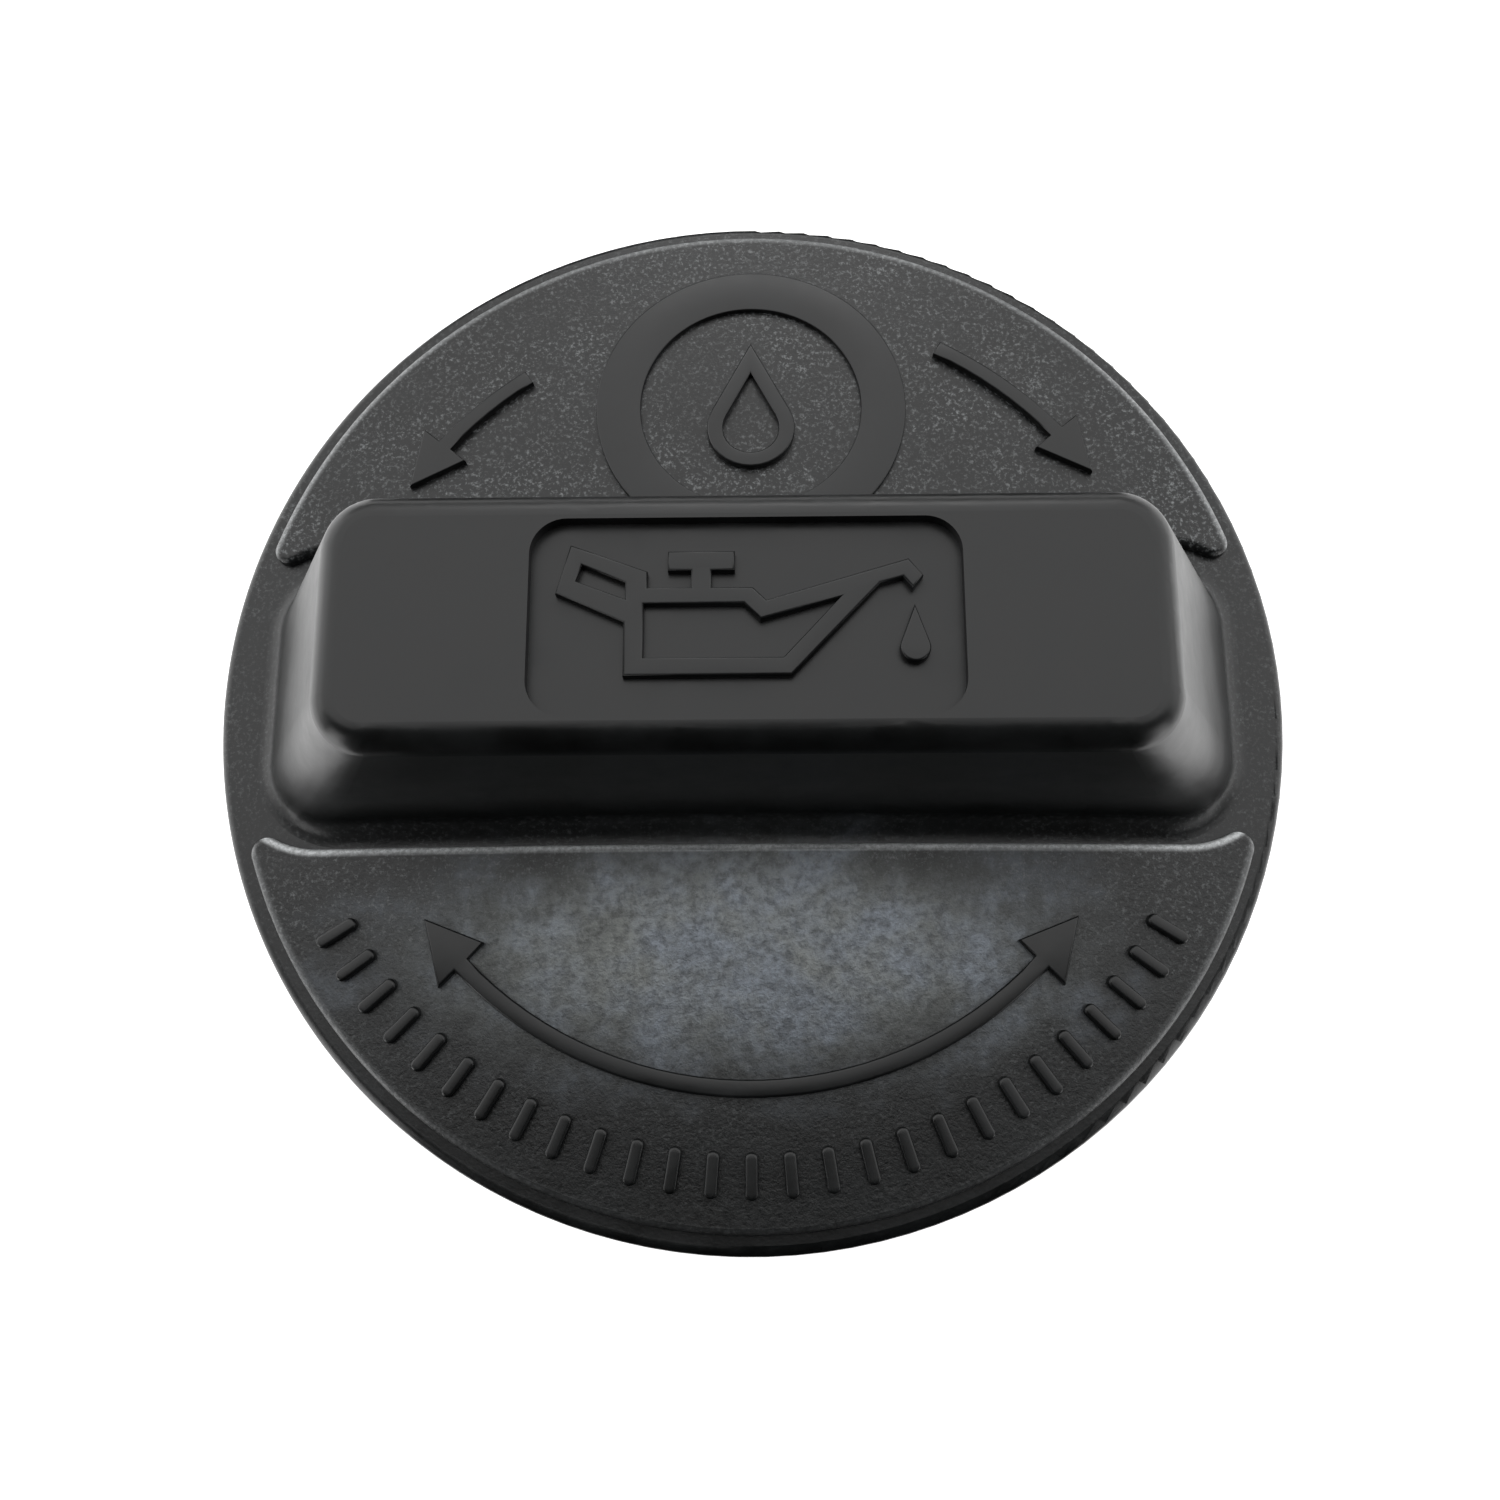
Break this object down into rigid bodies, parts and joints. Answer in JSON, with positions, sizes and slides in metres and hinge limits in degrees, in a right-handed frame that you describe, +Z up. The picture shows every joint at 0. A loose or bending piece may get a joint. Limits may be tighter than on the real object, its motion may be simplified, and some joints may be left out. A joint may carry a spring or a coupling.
{
  "type": "oil filler cap",
  "caption": "Black plastic oil filler cap with a bar grip across a domed head, raised crescents beside the grip, a hollow bayonet stem and a rubber seal ring.",
  "frame": {"origin": "on the stem's axis, at the stem's open end", "axes": "+Z up the stem's axis towards the grip, +X along the grip"},
  "size_m": [0.052, 0.052, 0.0355],
  "materials": {
    "black_plastic": "satin, stippled on the crescents",
    "seal_rubber": "matte"
  },
  "bodies": {
    "root": {"cap_body": "black_plastic", "seal_ring": "seal_rubber"}
  },
  "joints": []
}
